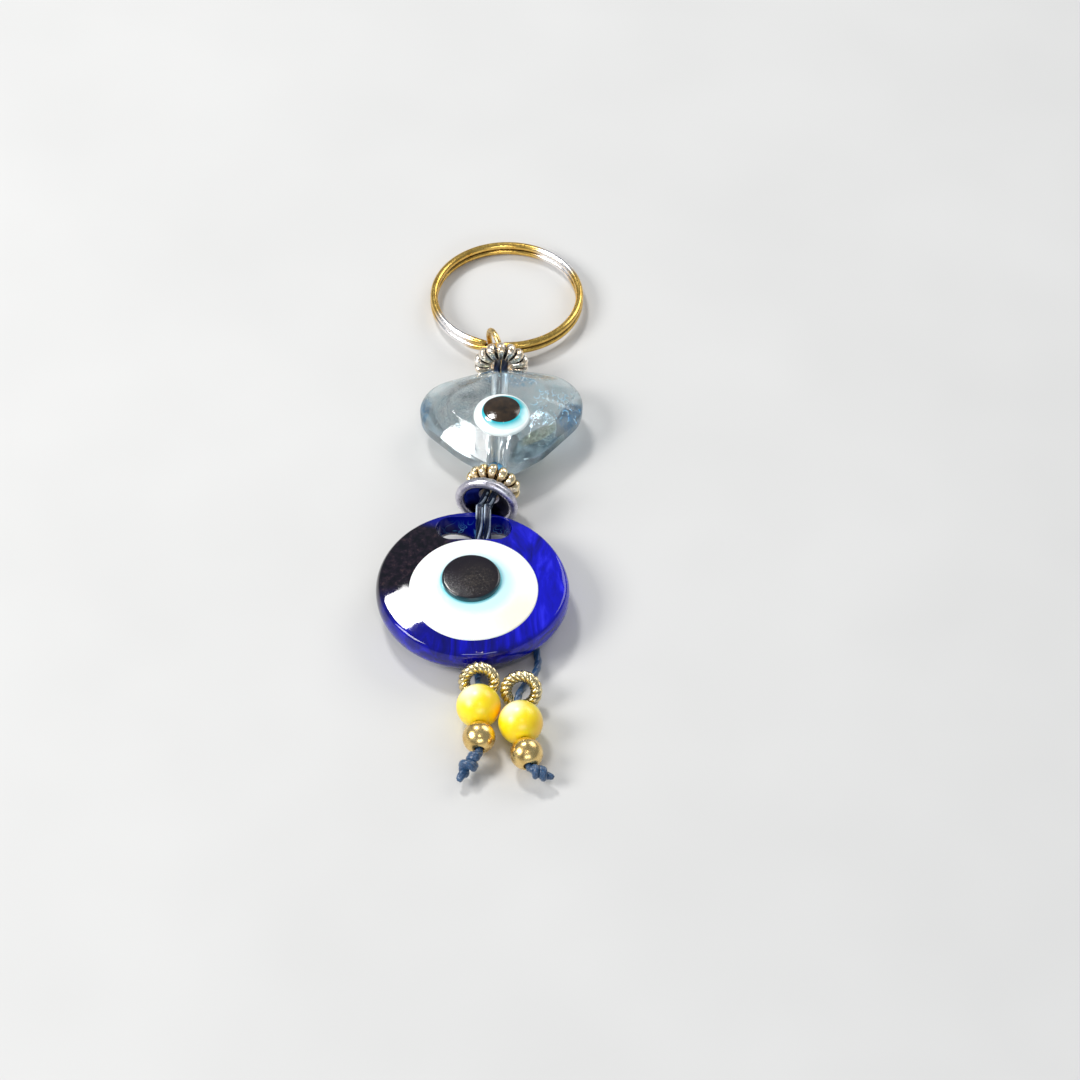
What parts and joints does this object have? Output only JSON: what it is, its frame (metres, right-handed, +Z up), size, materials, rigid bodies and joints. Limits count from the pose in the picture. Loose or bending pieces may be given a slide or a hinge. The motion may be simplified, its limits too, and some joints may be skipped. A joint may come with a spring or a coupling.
{
  "type": "evil eye keychain",
  "caption": "Evil eye keychain lying flat: split ring, clear glass bead with a small eye, spacers, bell cap, cobalt glass eye disc and two bead tassels on navy cord.",
  "frame": {"origin": "middle of the whole keychain's base, on the surface that it lies on", "axes": "+Y along the chain towards the split ring, +Z up off the surface, +X to the right as seen from the front of the eye"},
  "size_m": [0.0323, 0.1133, 0.0106],
  "materials": {
    "cobalt_glass": "deep cobalt blue glass, fire polished",
    "white_glass": "opaque white glass, glossy",
    "pale_blue_glass": "opaque pale blue glass, glossy",
    "dark_glass": "near-black glass, glossy",
    "clear_glass": "clear pale aqua pressed glass",
    "small_eye_white": "opaque white glass, glossy",
    "turquoise_glass": "opaque turquoise glass, glossy",
    "gold_metal": "polished pale gold plate",
    "old_gold_metal": "antiqued gold plate, dark in the grooves",
    "silver_metal": "antiqued silver plate",
    "ring_metal": "polished pale gold plated steel wire",
    "yellow_pearl": "pearl coat over a yellow bead",
    "navy_cord": "waxed navy cord, slight sheen"
  },
  "bodies": {
    "eye": {"eye_glass": "cobalt_glass", "eye_white": "white_glass", "eye_iris": "pale_blue_glass", "eye_pupil": "dark_glass", "eye_cord_left": "navy_cord", "eye_cord_right": "navy_cord"},
    "neck": {"neck_cord": "navy_cord"},
    "bell_cap": {"bell_cap": "silver_metal"},
    "lower_spacer": {"lower_spacer": "gold_metal"},
    "heart_strand": {"heart_cord": "navy_cord"},
    "heart": {"heart_glass": "clear_glass", "heart_eye_white": "small_eye_white", "heart_eye_ring": "turquoise_glass", "heart_eye_pupil": "dark_glass"},
    "top_spacer": {"top_spacer": "gold_metal"},
    "jump_ring": {"jump_ring": "gold_metal"},
    "key_ring": {"key_ring": "ring_metal"},
    "left_tassel": {"left_cord": "navy_cord", "left_knot": "navy_cord"},
    "left_rope_ring": {"left_rope_ring": "old_gold_metal"},
    "left_pearl": {"left_pearl": "yellow_pearl"},
    "left_gold_bead": {"left_gold_bead": "gold_metal"},
    "right_tassel": {"right_cord": "navy_cord", "right_knot": "navy_cord"},
    "right_rope_ring": {"right_rope_ring": "old_gold_metal"},
    "right_pearl": {"right_pearl": "yellow_pearl"},
    "right_gold_bead": {"right_gold_bead": "gold_metal"}
  },
  "joints": [
    {"name": "neck_swing", "type": "hinge", "parent": "eye", "child": "neck", "pos_m": [0.00036, -0.00505, 0.00512], "axis": [1, 0, 0], "range_deg": [-35, 35]},
    {"name": "bell_cap_spin", "type": "hinge", "parent": "neck", "child": "bell_cap", "pos_m": [0.00036, -0.00505, 0.00512], "axis": [0.2619, 0.9651, 0], "continuous": true},
    {"name": "lower_spacer_spin", "type": "hinge", "parent": "neck", "child": "lower_spacer", "pos_m": [0.00036, -0.00505, 0.00512], "axis": [0.2619, 0.9651, 0], "continuous": true},
    {"name": "heart_swing", "type": "hinge", "parent": "neck", "child": "heart_strand", "pos_m": [0.0023, 0.0021, 0.00512], "axis": [1, 0, 0], "range_deg": [-35, 35]},
    {"name": "heart_spin", "type": "hinge", "parent": "heart_strand", "child": "heart", "pos_m": [0.0023, 0.0021, 0.00512], "axis": [0.0262, 0.9997, 0], "continuous": true},
    {"name": "top_spacer_spin", "type": "hinge", "parent": "heart_strand", "child": "top_spacer", "pos_m": [0.0023, 0.0021, 0.00512], "axis": [0.0262, 0.9997, 0], "continuous": true},
    {"name": "jump_ring_swing", "type": "hinge", "parent": "heart_strand", "child": "jump_ring", "pos_m": [0.00301, 0.02929, 0.0032], "axis": [0, 0, 1], "range_deg": [-50, 30]},
    {"name": "key_ring_swing", "type": "hinge", "parent": "jump_ring", "child": "key_ring", "pos_m": [0.00174, 0.03236, 0.0024], "axis": [1, 0, 0], "range_deg": [-100, 100]},
    {"name": "left_tassel_swing", "type": "hinge", "parent": "eye", "child": "left_tassel", "pos_m": [-0.0003, -0.0343, 0.0006], "axis": [1, 0, 0], "range_deg": [-5, 100]},
    {"name": "left_rope_ring_spin", "type": "hinge", "parent": "left_tassel", "child": "left_rope_ring", "pos_m": [-0.00005, -0.03775, 0.00315], "axis": [0, -0.866, 0.5], "continuous": true},
    {"name": "left_pearl_spin", "type": "hinge", "parent": "left_tassel", "child": "left_pearl", "pos_m": [-0.0001, -0.04275, 0.0035], "axis": [0.0174, -0.9985, -0.0523], "continuous": true},
    {"name": "left_gold_bead_spin", "type": "hinge", "parent": "left_tassel", "child": "left_gold_bead", "pos_m": [-0.0001, -0.04275, 0.0035], "axis": [0.0174, -0.9985, -0.0523], "continuous": true},
    {"name": "right_tassel_swing", "type": "hinge", "parent": "eye", "child": "right_tassel", "pos_m": [0.0088, -0.031, 0.0006], "axis": [1, 0, 0], "range_deg": [-5, 100]},
    {"name": "right_rope_ring_spin", "type": "hinge", "parent": "right_tassel", "child": "right_rope_ring", "pos_m": [0.0063, -0.0395, 0.0031], "axis": [0, -0.766, 0.6428], "continuous": true},
    {"name": "right_pearl_spin", "type": "hinge", "parent": "right_tassel", "child": "right_pearl", "pos_m": [0.00625, -0.0459, 0.0035], "axis": [0.1562, -0.9863, -0.0523], "continuous": true},
    {"name": "right_gold_bead_spin", "type": "hinge", "parent": "right_tassel", "child": "right_gold_bead", "pos_m": [0.00625, -0.0459, 0.0035], "axis": [0.1562, -0.9863, -0.0523], "continuous": true}
  ]
}
